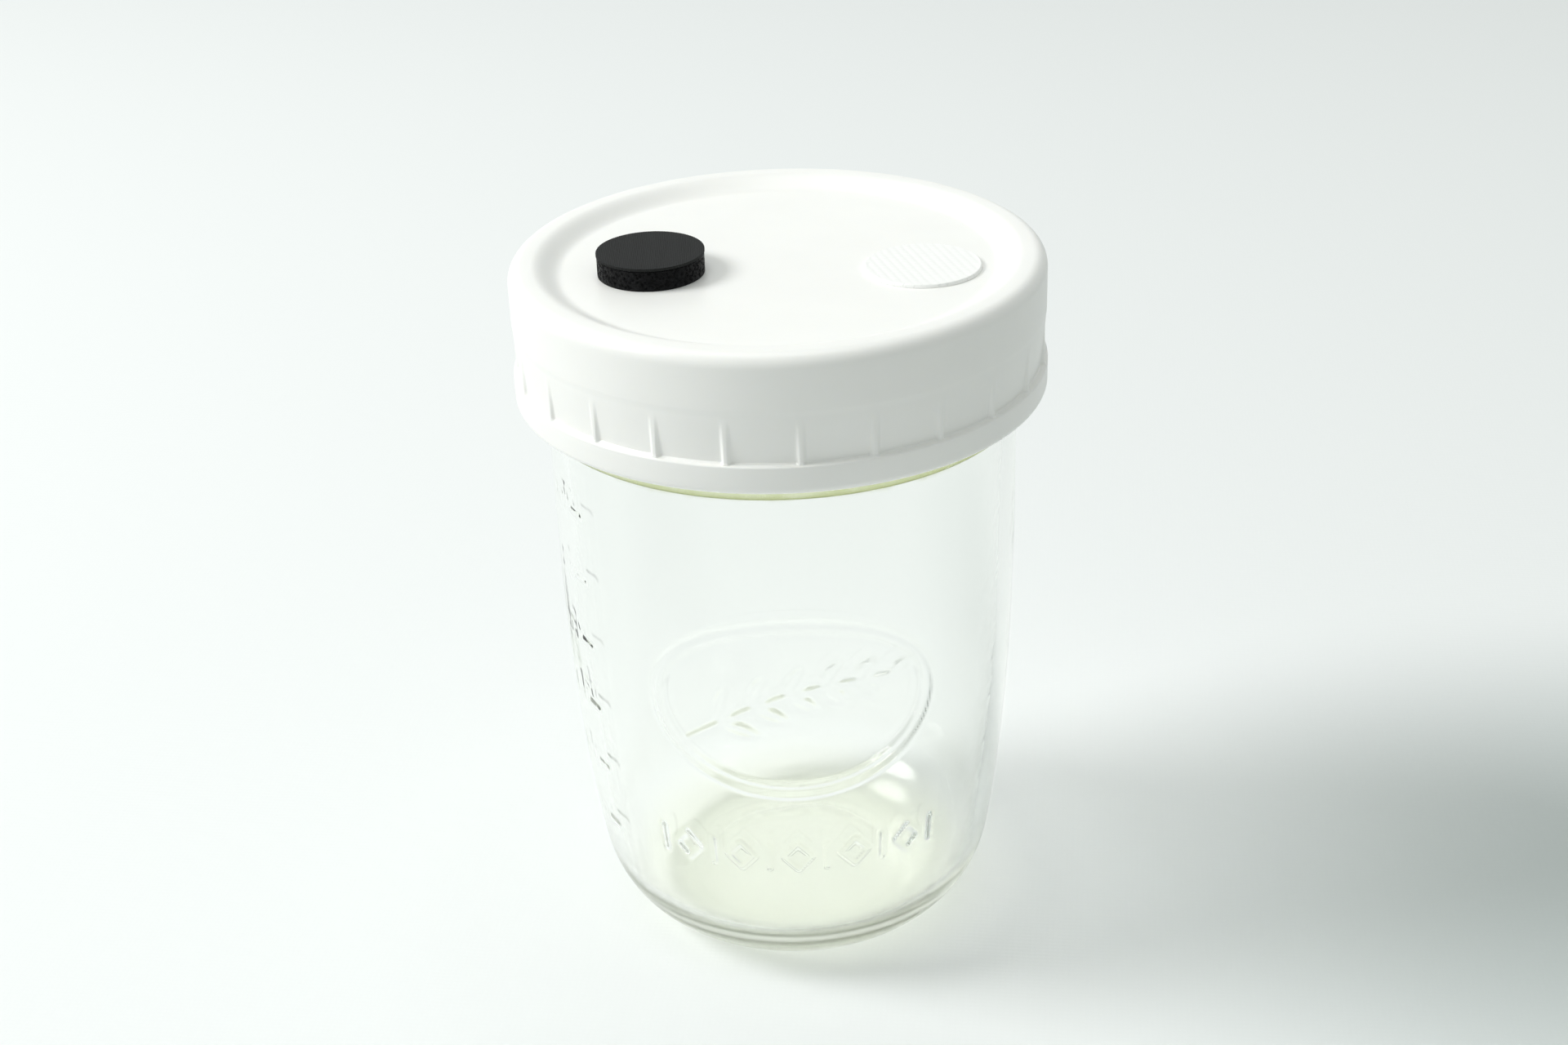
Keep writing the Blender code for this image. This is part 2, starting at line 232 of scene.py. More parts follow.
def jar_section():
    """Half-section of the jar, from the middle of its floor, over the rim and down the outside."""
    inner_foot = FLOOR + INNER_HEEL * (1 - sin(FOOT_LEAN))
    foot_radius = body_radius(inner_foot) - BODY_WALL
    centre = (foot_radius - INNER_HEEL * cos(FOOT_LEAN), FLOOR + INNER_HEEL)
    inner_heel = arc(centre, (INNER_HEEL, INNER_HEEL), -pi / 2, -FOOT_LEAN, 14)
    edge = inner_heel[0][0]
    dome = [(edge * k / 8, FLOOR + PUSH_UP * (1 - (k / 8) ** 2)) for k in range(8)]
    inner_wall = [(body_radius(z) - BODY_WALL, z) for z in heights(BODY_TOP, inner_foot, 3.0)[-2::-1]]
    inner_neck = run(inner_wall[-1], (MOUTH_RADIUS, BEAD_TOP), 1.5) + [(MOUTH_RADIUS, BEAD_TOP)]
    inner_neck += run(inner_neck[-1], (MOUTH_RADIUS, JAR_TOP - RIM_ROUNDING), 2.5)
    rim = arc((MOUTH_RADIUS + RIM_ROUNDING, JAR_TOP - RIM_ROUNDING), (RIM_ROUNDING,) * 2, pi, pi / 2, 5)
    rim += arc((NECK_RADIUS - RIM_ROUNDING, JAR_TOP - RIM_ROUNDING), (RIM_ROUNDING,) * 2, pi / 2, 0, 5)

    neck = [(NECK_RADIUS, z) for z in heights(JAR_TOP - RIM_ROUNDING, BEAD_TOP + 0.3, 0.4)[1:]]
    bead_middle = BEAD_TOP - BEAD_HEIGHT / 2
    bead = arc((NECK_RADIUS, bead_middle), (BEAD_DEPTH, BEAD_HEIGHT / 2), pi / 2, -pi / 2, 14)
    shoulder = run(bead[-1], (BODY_RADIUS, BODY_TOP), 0.6)
    upper = [(body_radius(z), z) for z in heights(BODY_TOP, RELIEF_TOP, 1.0)]
    middle = [(body_radius(z), z) for z in heights(RELIEF_TOP, RELIEF_FOOT, 0.45)[1:]]
    lower = [(body_radius(z), z) for z in heights(RELIEF_FOOT, HEEL_TOP, 0.9)[1:]]
    heel_centre = (BODY_RADIUS - BODY_TAPER - HEEL_WIDTH * cos(HEEL_ANGLE), HEEL_HEIGHT)
    heel = arc(heel_centre, (HEEL_WIDTH, HEEL_HEIGHT), HEEL_ANGLE, -pi / 2, 24)[1:]
    outer_edge = heel[-1][0]
    inner_edge = outer_edge - BEARING_WIDTH
    bearing = run(heel[-1], (inner_edge, 0), 0.42)
    push_up = [(inner_edge * (1 - k / 10), PUSH_UP * (1 - (1 - k / 10) ** 2)) for k in range(11)]
    return (zoned(dome + inner_heel + inner_wall + inner_neck, INSIDE) + zoned(rim, PLAIN)
            + zoned(neck, NECK) + zoned(bead + shoulder, PLAIN) + zoned(upper + middle + lower, BODY)
            + zoned(heel, PLAIN) + zoned(bearing, BEARING) + zoned(push_up, PLAIN))


def cap_section():
    """Half-section of the cap's rim and skirt, from its flat top, round the foot to the underside."""
    rise = [k / 16 for k in range(17)]
    inside = [(CAP_PANEL_RADIUS + (CAP_CROWN_INSIDE - CAP_PANEL_RADIUS) * t,
               CAP_PANEL + (CAP_CROWN - CAP_PANEL) * t * t * (3 - 2 * t)) for t in rise]
    edge = CAP_EDGE_ROUNDING
    outside = arc((CAP_RADIUS - edge, CAP_CROWN - edge), (edge, edge), pi / 2, 0, 12)
    top = [(CAP_PANEL_EDGE, CAP_PANEL)] + inside + outside
    grip_top = FLANGE_TOP + GRIP_HEIGHT + 0.4
    wall = run(outside[-1], (CAP_RADIUS, grip_top), 1.2)
    grip = [(CAP_RADIUS, z) for z in heights(grip_top, FLANGE_TOP + 0.5, 0.55)]
    grip += [(CAP_RADIUS, FLANGE_TOP + z) for z in (0.32, 0.16, 0.06)]
    ledge = arc((FLANGE_RADIUS - 0.3, FLANGE_TOP - 0.3), (0.3, 0.3), radians(80), 0, 4)
    flange = run(ledge[-1], (FLANGE_RADIUS, CAP_FOOT + FLANGE_ROUNDING), 1.2)
    foot_centre = (FLANGE_RADIUS - FLANGE_ROUNDING, CAP_FOOT + FLANGE_ROUNDING)
    foot = arc(foot_centre, (FLANGE_ROUNDING,) * 2, 0, -pi / 2, 7)
    lip = arc((CAP_BORE + 0.6, CAP_FOOT + 0.6), (0.6, 0.6), -pi / 2, -pi, 4)
    bore = [(CAP_BORE, z) for z in heights(CAP_FOOT + 1.2, CAP_UNDERSIDE - 1.2, 0.45)]
    corner = arc((CAP_BORE - 0.4, CAP_UNDERSIDE - 0.4), (0.4, 0.4), 0, pi / 2, 3)
    keeper = [(KEEPER_OUTSIDE, CAP_UNDERSIDE), (KEEPER_OUTSIDE, KEEPER_FOOT + 0.3)]
    keeper += [(KEEPER_OUTSIDE - 0.25, KEEPER_FOOT), (KEEPER_INSIDE + 0.25, KEEPER_FOOT)]
    keeper += [(KEEPER_INSIDE, KEEPER_FOOT + 0.3), (KEEPER_INSIDE, CAP_UNDERSIDE),
               (CAP_UNDERSIDE_EDGE, CAP_UNDERSIDE)]
    return (zoned(top + wall, PLAIN) + zoned(grip, GRIP) + zoned(ledge + flange + foot + lip, PLAIN)
            + zoned(bore, BORE) + zoned(corner + keeper, PLAIN))


# Meshes

def even_angles(count):
    return [2 * pi * k / count for k in range(count)]


def jar_angles():
    """Columns of the jar: fine behind the relief at the front and the marks on the left."""
    stretches = [(-180, -84, 32), (-84, -54, 50), (-54, -42, 4), (-42, 42, 146), (42, 180, 48)]
    angles = []
    for start, end, count in stretches:
        angles += [radians(-90 + start + (end - start) * k / count) for k in range(count)]
    return angles


def cap_angles():
    """Columns of the cap: gathered at both edges of each ridge."""
    half = [0, 2.3, 4.2, 5.4, 6.0, 6.3, 6.5, 6.65, 6.8, 6.93, 7.06, 7.21, 7.35]
    pitch = 360 / RIDGE_COUNT
    local = half + [pitch / 2] + [pitch - a for a in half[:0:-1]]
    return [FIRST_RIDGE + radians(pitch * (k + 0.5) + a) for k in range(RIDGE_COUNT) for a in local]


def everything(mesh):
    return list(mesh.verts) + list(mesh.edges) + list(mesh.faces)


def turned(section, angles, closed=False):
    """Turn a section of (r, z, zone) about Z, with one column of the mesh at each angle."""
    mesh = bmesh.new()
    zone = mesh.verts.layers.int.new("zone")
    verts = []
    for r, z, kind in section:
        verts.append(mesh.verts.new((r * MM, 0, z * MM)))
        verts[-1][zone] = kind
    edges = [mesh.edges.new(pair) for pair in zip(verts, verts[1:])]
    if closed:
        edges.append(mesh.edges.new((verts[-1], verts[0])))
    count = len(angles)
    sectors = next(k for k in (24, 20, 14, 12, 10, 8, 5, 4, 2, 1) if count % k == 0)
    sector = 2 * pi / sectors
    bmesh.ops.spin(mesh, geom=verts + edges, cent=(0, 0, 0), axis=(0, 0, 1), dvec=(0, 0, 0),
                   angle=sector, steps=count // sectors, use_duplicate=False)
    bmesh.ops.spin(mesh, geom=everything(mesh), cent=(0, 0, 0), axis=(0, 0, 1), dvec=(0, 0, 0),
                   angle=2 * pi - sector, steps=sectors - 1, use_duplicate=True)
    bmesh.ops.remove_doubles(mesh, verts=mesh.verts, dist=1e-6)
    for v in mesh.verts:
        radius = v.co.xy.length
        if radius > 1e-6:
            angle = angles[round(np.arctan2(v.co.y, v.co.x) / (2 * pi) * count) % count]
            v.co.x, v.co.y = radius * cos(angle), radius * sin(angle)
    bmesh.ops.recalc_face_normals(mesh, faces=mesh.faces)
    return mesh


def read_points(mesh):
    co = np.empty(len(mesh.vertices) * 3)
    mesh.vertices.foreach_get("co", co)
    return co.reshape(-1, 3) / MM


def write_points(mesh, points):
    mesh.vertices.foreach_set("co", (points * MM).ravel())
    mesh.update()


def read_zones(mesh):
    zones = np.zeros(len(mesh.vertices), dtype=np.int32)
    mesh.attributes["zone"].data.foreach_get("value", zones)
    return zones


def move_radially(mesh, points, change):
    """Move points out from the axis by a change in millimetres."""
    radius = np.hypot(points[:, 0], points[:, 1])
    factor = 1 + change / np.maximum(radius, 1e-6)
    points[:, 0] *= factor
    points[:, 1] *= factor
    write_points(mesh, points)


def new_object(name, data):
    made = bpy.data.objects.new(name, data)
    bpy.context.scene.collection.objects.link(made)
    return made


def make_piece(name, mesh, material, body, replaced=None, sharp_angle=radians(35)):
    """Object from a bmesh, smooth-shaded with sharp edges, that rides on a body."""
    data = bpy.data.meshes.new(name)
    mesh.to_mesh(data)
    mesh.free()
    data.shade_smooth()
    data.set_sharp_from_angle(angle=sharp_angle)
    data.materials.append(material)
    piece = new_object(name, data)
    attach(piece, body)
    if replaced:
        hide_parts(replaced)
    return piece


def smooth_step(x):
    x = np.clip(x, 0, 1)
    return x * x * (3 - 2 * x)


def helix_ridge(angle, z, start_angle, start_z, turns, pitch, half_width):
    """Height, from 0 to 1, of a right-hand thread that fades out at its two ends."""
    turned_by = ((angle - start_angle) / (2 * pi)) % 1.0
    ridge = np.zeros_like(z)
    for winding in range(int(turns) + 1):
        along = turned_by + winding
        off = np.abs(z - start_z - pitch * along) / half_width
        fade = smooth_step(along / 0.05) * smooth_step((turns - along) / 0.05)
        ridge = np.maximum(ridge, fade * smooth_step(1.25 - off * 1.25))
    return ridge


# Relief on the glass, in millimetres along the wall (u, to the right) and up (z)

OVAL_CENTRE = (0, 61.5)
OVAL_RADII = (26.0, 17.5)
INNER_OVAL_RADII = (23.6, 15.3)
BORDER_HEIGHT = 30.5
BORDER_STEP = 5.4
MARK_PLACE = radians(64.5)
MARK_HEIGHTS = [25.8, 38.6, 51.5, 64.4, 77.3, 90.2]


def stroke(u, z, points, half_width):
    """Height, from 0 to 1, of a raised line through some points."""
    distance = np.full_like(u, 99.0)
    for (u0, z0), (u1, z1) in zip(points, points[1:]):
        du, dz = u1 - u0, z1 - z0
        t = np.clip(((u - u0) * du + (z - z0) * dz) / (du * du + dz * dz), 0, 1)
        distance = np.minimum(distance, np.hypot(u - u0 - t * du, z - z0 - t * dz))
    return smooth_step(1.2 * (1 - distance / half_width))


def leaf(u, z, place, direction, length, width):
    """Height of a raised leaf with a groove along its middle."""
    du, dz = u - place[0], z - place[1]
    along = du * cos(direction) + dz * sin(direction)
    across = np.abs(dz * cos(direction) - du * sin(direction))
    t = np.clip(along / length, 0, 1)
    half = width * (4 * t * (1 - t)) ** 0.8 * (1.15 - 0.3 * t)
    body = smooth_step((half - across) / 0.55) * (along > 0) * (along < length)
    return body * (1 - 0.55 * np.exp(-(across / 0.32) ** 2))


def ellipse(centre, radii, steps):
    return arc(centre, radii, 0, 2 * pi, steps)


def sprig_relief(u, z):
    """An oval border round a slanting sprig of leaves."""
    relief = stroke(u, z, ellipse(OVAL_CENTRE, OVAL_RADII, 72), 0.9)
    relief = np.maximum(relief, 0.5 * stroke(u, z, ellipse(OVAL_CENTRE, INNER_OVAL_RADII, 72), 0.7))
    stem = [(-19 + 36 * t, 54.5 + 12 * t + 4.2 * sin(pi * t)) for t in [k / 12 for k in range(13)]]
    relief = np.maximum(relief, stroke(u, z, stem, 0.8))
    for k in (2, 4, 6, 8, 10):
        (u0, z0), (u1, z1) = stem[k], stem[k + 1]
        heading = np.arctan2(z1 - z0, u1 - u0)
        size = 8.2 - 0.28 * k
        for side in (-1, 1):
            relief = np.maximum(relief, leaf(u, z, (u0, z0), heading + side * radians(48), size, 1.75))
    return np.maximum(relief, leaf(u, z, stem[-1], np.arctan2(1.0, 2.4), 5.6, 1.6))


def border_relief(u, z):
    """A row of lozenges and upright bars round the lower front."""
    relief = np.zeros_like(u)
    for k in range(-5, 6):
        middle = BORDER_STEP * k
        if k % 2:
            ends = [(middle, BORDER_HEIGHT - 2.6), (middle, BORDER_HEIGHT + 2.6)]
            relief = np.maximum(relief, stroke(u, z, ends, 0.8))
        else:
            corners = [(middle - 2.6, BORDER_HEIGHT), (middle, BORDER_HEIGHT - 2.9),
                       (middle + 2.6, BORDER_HEIGHT), (middle, BORDER_HEIGHT + 2.9)]
            relief = np.maximum(relief, stroke(u, z, corners + corners[:1], 0.8))
    return 1.25 * relief


DIGITS = {
    "0": [[(0.5, 0), (1.5, 0), (2, 0.7), (2, 2.3), (1.5, 3), (0.5, 3), (0, 2.3), (0, 0.7), (0.5, 0)]],
    "1": [[(0.3, 2.3), (1.0, 3), (1.0, 0)]],
    "2": [[(0, 2.4), (0.6, 3), (1.5, 3), (2, 2.3), (1.8, 1.5), (0, 0), (2, 0)]],
    "3": [[(0, 3), (2, 3), (1.0, 1.8), (1.8, 1.3), (2, 0.7), (1.5, 0), (0.5, 0), (0, 0.5)]],
    "5": [[(1.9, 3), (0.2, 3), (0, 1.6), (1.3, 1.8), (2, 1.1), (1.8, 0.3), (1, 0), (0, 0.2)]],
}


def mark_relief(u, z):
    """Measuring marks, each with its number of millilitres; u is measured from their left ends."""
    relief = np.zeros_like(u)
    for k, height in enumerate(MARK_HEIGHTS):
        relief = np.maximum(relief, 0.5 * stroke(u, z, [(0.8, height), (4.2, height)], 0.75))
        text = str(50 * (k + 1))
        for i, digit in enumerate(text):
            left = -2.9 * (len(text) - i)
            for line in DIGITS[digit]:
                points = [(left + x, height - 1.5 + y) for x, y in line]
                relief = np.maximum(relief, 0.09 * stroke(u, z, points, 0.6))
    return relief


def waves(angle, z, seed):
    """Gentle uneven waves round and along a wall, roughly from -1 to 1."""
    draw = np.random.RandomState(seed)
    total = np.zeros_like(z)
    for turns in (2, 3, 5, 7, 11, 16):
        length = draw.uniform(14, 60)
        total += np.sin(turns * angle + 2 * pi * z / length + draw.uniform(0, 2 * pi)) / turns ** 0.5
    return total / 2.2


def shape_jar(mesh):
    """Give the turned jar its relief, thread, stippled bearing ring and uneven wall."""
    points, zones = read_points(mesh), read_zones(mesh)
    angle = np.arctan2(points[:, 1], points[:, 0])
    z = points[:, 2]
    front = (angle + pi / 2 + pi) % (2 * pi) - pi
    emboss = sizes().emboss_height / MM
    wave = sizes().glass_wave / MM
    change = np.zeros_like(z)

    body = zones == BODY
    u = front[body] * BODY_RADIUS
    marks_u = (front[body] + MARK_PLACE) * BODY_RADIUS
    relief = np.maximum(sprig_relief(u, z[body]), border_relief(u, z[body]))
    relief = np.maximum(relief, mark_relief(marks_u, z[body]))
    change[body] = emboss * relief + 0.35 * wave * waves(angle[body], z[body], 3)

    inside = zones == INSIDE
    calm = smooth_step((JAR_TOP - z[inside]) / 20) * smooth_step((z[inside] - FLOOR) / 8)
    change[inside] = wave * calm * waves(angle[inside], z[inside], 8)

    neck = zones == NECK
    ridge = helix_ridge(angle[neck], z[neck], NECK_THREAD_START, THREAD_FOOT, NECK_THREAD_TURNS,
                        sizes().thread_pitch / MM, NECK_THREAD_WIDTH / 2)
    change[neck] = sizes().thread_depth / MM * ridge

    bearing = zones == BEARING
    stipple = np.sin(angle[bearing] * STIPPLES) * np.sin(points[bearing, 0] * 8)
    points[bearing, 2] += STIPPLE_DEPTH * (0.5 + 0.5 * stipple)
    move_radially(mesh, points, change)


def grip_radius(angle, z):
    """Radius of the cap's wall with its sunk panels and the narrow ridges between them."""
    pitch = 2 * pi / RIDGE_COUNT
    from_crest = CAP_RADIUS * (pitch / 2 - np.abs((angle - FIRST_RIDGE) % pitch - pitch / 2))
    panel = smooth_step((from_crest - RIDGE_CREST / 2) / RIDGE_FLANK)
    depth = GRIP_DEPTH * np.clip(1 - (z - FLANGE_TOP) / GRIP_HEIGHT, 0, 1)
    step = GRIP_STEP * smooth_step((FLANGE_TOP + GRIP_HEIGHT - z) / 0.6)
    return CAP_RADIUS - step - np.maximum(depth - GRIP_STEP, 0) * panel


def shape_cap(mesh):
    """Cut the grip panels into the turned cap and raise the thread in its bore."""
    points, zones = read_points(mesh), read_zones(mesh)
    angle = np.arctan2(points[:, 1], points[:, 0])
    z = points[:, 2]
    change = np.zeros_like(z)
    grip = zones == GRIP
    fillet = GRIP_FILLET * (1 - smooth_step((z[grip] - FLANGE_TOP) / 0.5)) ** 2
    change[grip] = np.minimum(grip_radius(angle[grip], z[grip]) + fillet, CAP_RADIUS) - CAP_RADIUS
    bore = zones == BORE
    ridge = helix_ridge(angle[bore], z[bore], CAP_THREAD_START, THREAD_FOOT, CAP_THREAD_TURNS,
                        sizes().thread_pitch / MM, CAP_THREAD_WIDTH / 2)
    change[bore] = -sizes().thread_depth / MM * ridge
    move_radially(mesh, points, change)


def circle_edges(mesh, radius, place, z, count=64):
    ring = bmesh.ops.create_circle(mesh, cap_ends=False, radius=radius * MM, segments=count,
                                   matrix=Matrix.Translation((place[0] * MM, place[1] * MM, z * MM)))
    return list({edge for v in ring["verts"] for edge in v.link_edges})


def close_cap(mesh):
    """Fill the top and underside of the cap round the two drilled holes."""
    holes = ((PORT_HOLE, PORT_PLACE), (FILTER_HOLE, FILTER_PLACE))
    open_edges = [edge for edge in mesh.edges if edge.is_boundary]
    rings = []
    for z in (CAP_PANEL, CAP_UNDERSIDE):
        border = [edge for edge in open_edges if abs(edge.verts[0].co.z - z * MM) < 1e-5]
        level = [circle_edges(mesh, radius, place, z) for radius, place in holes]
        rings.append(level)
        bmesh.ops.triangle_fill(mesh, use_beauty=True, use_dissolve=False,
                                edges=border + level[0] + level[1])
    for upper, lower in zip(*rings):
        bmesh.ops.bridge_loops(mesh, edges=upper + lower)
    bmesh.ops.recalc_face_normals(mesh, faces=mesh.faces)


def rounded_box_section(inner, outer, bottom, top, rounding, steps):
    """Closed outline (r, z) of a box with rounded corners."""
    corners = [((outer - rounding, top - rounding), pi / 2, 0),
               ((outer - rounding, bottom + rounding), 0, -pi / 2),
               ((inner + rounding, bottom + rounding), -pi / 2, -pi),
               ((inner + rounding, top - rounding), pi, pi / 2)]
    points = []
    for centre, start, end in corners:
        points += arc(centre, (rounding, rounding), start, end, steps)
    return points


def clipped_grid(radius, step_x, step_y, sides=96):
    """Level grid cut to a round disc."""
    mesh = bmesh.new()
    columns, rows = round(2 * radius / step_x), round(2 * radius / step_y)
    bmesh.ops.create_grid(mesh, x_segments=columns, y_segments=rows, size=radius * 1.02 * MM)
    for k in range(sides):
        angle = 2 * pi * k / sides
        normal = Vector((cos(angle), sin(angle), 0))
        bmesh.ops.bisect_plane(mesh, geom=everything(mesh), dist=1e-7,
                               plane_co=normal * radius * cos(pi / sides) * MM, plane_no=normal,
                               use_snap_center=False, clear_outer=True, clear_inner=False)
    return mesh


def disc_from_grid(mesh, thickness, rounding, foot, height, flare=1.0):
    """Give a grid disc a relief on top, a rounded border, a side down to the foot and an underside."""
    border = [edge for edge in mesh.edges if edge.is_boundary]
    for v in mesh.verts:
        v.co.z = (thickness + height(v.co.x / MM, v.co.y / MM)) * MM
    for z, widen in ((thickness - rounding, 1.003 * flare), (-foot, flare), (-foot, 0.98), (0, 1)):
        made = bmesh.ops.extrude_edge_only(mesh, edges=border)["geom"]
        border = [item for item in made if isinstance(item, bmesh.types.BMEdge)]
        border = [edge for edge in border if edge.is_boundary]
        new_verts = {v for edge in border for v in edge.verts}
        for v in new_verts:
            v.co.xy *= widen
            v.co.z = z * MM
    bmesh.ops.contextual_create(mesh, geom=border)
    bmesh.ops.recalc_face_normals(mesh, faces=mesh.faces)


# Materials

# Pale tint of the thick heel; the bead's olive tint is darker still, as painted shade under the cap's
# skirt
HEEL_TINT = (0.99, 0.992, 0.93, 1)
BEAD_TINT_AND_SHADE = (0.62, 0.66, 0.36, 1)
HEEL_SOFTNESS = 0.12
SOFT_UP_TO, CLEAR_FROM = 0.016, 0.026

# Scales of the wave textures, pi / 10 over the pitch of the threads in metres
RIB_BANDS, CORD_BANDS, DOT_BANDS, CLOTH_BANDS = 1013.0, 229.3, 870.0, 300.0


def add(tree, kind, place, **values):
    """New node with its settings, and its inputs by name."""
    node = tree.nodes.new("ShaderNode" + kind)
    node.location = place
    for name, value in values.items():
        if hasattr(node, name) and name not in node.inputs:
            setattr(node, name, value)
        else:
            node.inputs[name.replace("_", " ")].default_value = value
    return node


def new_group(name, scales, results):
    """Node group that takes coordinates and scales, with what it is given and what it gives."""
    group = bpy.data.node_groups.new(name, "ShaderNodeTree")
    sockets = [("Vector", "INPUT", "Vector")] + [(scale, "INPUT", "Float") for scale in scales]
    sockets += [(result, "OUTPUT", "Float") for result in results]
    for title, way, kind in sockets:
        group.interface.new_socket(name=title, in_out=way, socket_type="NodeSocket" + kind)
    enter, leave = group.nodes.new("NodeGroupInput"), group.nodes.new("NodeGroupOutput")
    return group, enter.outputs, leave.inputs


def grain_group():
    """Fine grain over broad mottling: a height for bumps and a mask for colour."""
    group, given, gives = new_group("moulded_grain", ("Fine Scale", "Broad Scale"), ("Height", "Mottle"))
    fine = add(group, "TexNoise", (0, 200), Detail=3.0, Roughness=0.6)
    broad = add(group, "TexNoise", (0, -100), Detail=4.0, Roughness=0.55)
    for node, scale, result in ((fine, "Fine Scale", "Height"), (broad, "Broad Scale", "Mottle")):
        group.links.new(given["Vector"], node.inputs["Vector"])
        group.links.new(given[scale], node.inputs["Scale"])
        group.links.new(node.outputs["Fac"], gives[result])
    return group


def weave_group():
    """Crossing threads: a height, and a mask that is dark between the threads."""
    group, given, gives = new_group("crossing_threads", ("Warp Scale", "Weft Scale"), ("Height", "Gaps"))
    warp = add(group, "TexWave", (0, 200), wave_type="BANDS", bands_direction="X", wave_profile="SIN",
               Distortion=0.4, Detail=1.0)
    weft = add(group, "TexWave", (0, -100), wave_type="BANDS", bands_direction="Y", wave_profile="SIN",
               Distortion=0.6, Detail=1.0)
    both = add(group, "Math", (220, 0), operation="MULTIPLY_ADD")
    both.inputs[1].default_value = 0.7
    gaps = add(group, "Math", (220, -200), operation="MULTIPLY")
    for node, scale, k in ((warp, "Warp Scale", 0), (weft, "Weft Scale", 1)):
        group.links.new(given["Vector"], node.inputs["Vector"])
        group.links.new(given[scale], node.inputs["Scale"])
        group.links.new(node.outputs["Fac"], both.inputs[2 * k])
        group.links.new(node.outputs["Fac"], gaps.inputs[k])
    group.links.new(both.outputs["Value"], gives["Height"])
    group.links.new(gaps.outputs["Value"], gives["Gaps"])
    return group


def add_group(tree, name, build, vector, *scales):
    """Place a node group that materials share, with its coordinates and scales."""
    node = tree.nodes.new("ShaderNodeGroup")
    node.node_tree = bpy.data.node_groups.get(name) or build()
    node.location = (-700, 0)
    tree.links.new(vector, node.inputs["Vector"])
    for k, scale in enumerate(scales):
        node.inputs[k + 1].default_value = scale
    return node.outputs


def start_material(name, roughness):
    """New material with a Principled shader and object coordinates."""
    material = bpy.data.materials.new(name)
    material.use_nodes = True
    shader = material.node_tree.nodes["Principled BSDF"]
    shader.inputs["Roughness"].default_value = roughness
    place = add(material.node_tree, "TexCoord", (-1000, 0))
    return material, shader, place.outputs["Object"]


def bump(tree, height, strength, depth):
    node = add(tree, "Bump", (-200, -300), Strength=strength, Distance=depth)
    tree.links.new(height, node.inputs["Height"])
    return node.outputs["Normal"]


def shade(colour, factor):
    return (colour[0] * factor, colour[1] * factor, colour[2] * factor, 1.0)


def spread(tree, value, low, high):
    """Map a mask to the range from low to high."""
    node = add(tree, "MapRange", (-400, 100), To_Min=low, To_Max=high)
    tree.links.new(value, node.inputs["Value"])
    return node.outputs["Result"]


def tint(tree, value, dark, light, low=0.3, high=0.7):
    """Colour that goes from dark to light as a mask goes from low to high."""
    ramp = add(tree, "ValToRGB", (-500, 300))
    ramp.color_ramp.elements[0].position, ramp.color_ramp.elements[0].color = low, dark
    ramp.color_ramp.elements[1].position, ramp.color_ramp.elements[1].color = high, light
    tree.links.new(value, ramp.inputs["Fac"])
    return ramp.outputs["Color"]


def grained_material(name, colour, roughness, fine, broad, depth, contrast, bump_strength=0.3):
    """Moulded rubber, film or plastic: grain in the bump, mottling in colour and shine."""
    material, shader, place = start_material(name, roughness)
    tree = material.node_tree
    grain = add_group(tree, "moulded_grain", grain_group, place, fine, broad)
    mottle = grain["Mottle"]
    tree.links.new(tint(tree, mottle, shade(colour, 1 - contrast), shade(colour, 1 + contrast / 3)),
                   shader.inputs["Base Color"])
    tree.links.new(spread(tree, mottle, roughness * 0.85, roughness * 1.15), shader.inputs["Roughness"])
    tree.links.new(bump(tree, grain["Height"], bump_strength, depth), shader.inputs["Normal"])
    return material, shader


def woven_material(name, colour, roughness, scales, turn, depth, contrast,
                   centre=(0, 0), low=0.02, high=0.6):
    """Cloth with threads that cross at a right angle, turned about its centre.

    Its colour is darker by the contrast where the mask of the threads is under low."""
    material, shader, place = start_material(name, roughness)
    tree = material.node_tree
    start = (centre[1] * sin(turn) - centre[0] * cos(turn),
             -centre[0] * sin(turn) - centre[1] * cos(turn), 0)
    mapping = add(tree, "Mapping", (-900, 0), Rotation=(0, 0, turn), Location=start)
    tree.links.new(place, mapping.inputs["Vector"])
    weave = add_group(tree, "crossing_threads", weave_group, mapping.outputs["Vector"], *scales)
    tone = tint(tree, weave["Gaps"], shade(colour, 1 - contrast), shade(colour, 1), low, high)
    tree.links.new(tone, shader.inputs["Base Color"])
    tree.links.new(bump(tree, weave["Height"], 0.5, depth), shader.inputs["Normal"])
    return material, shader


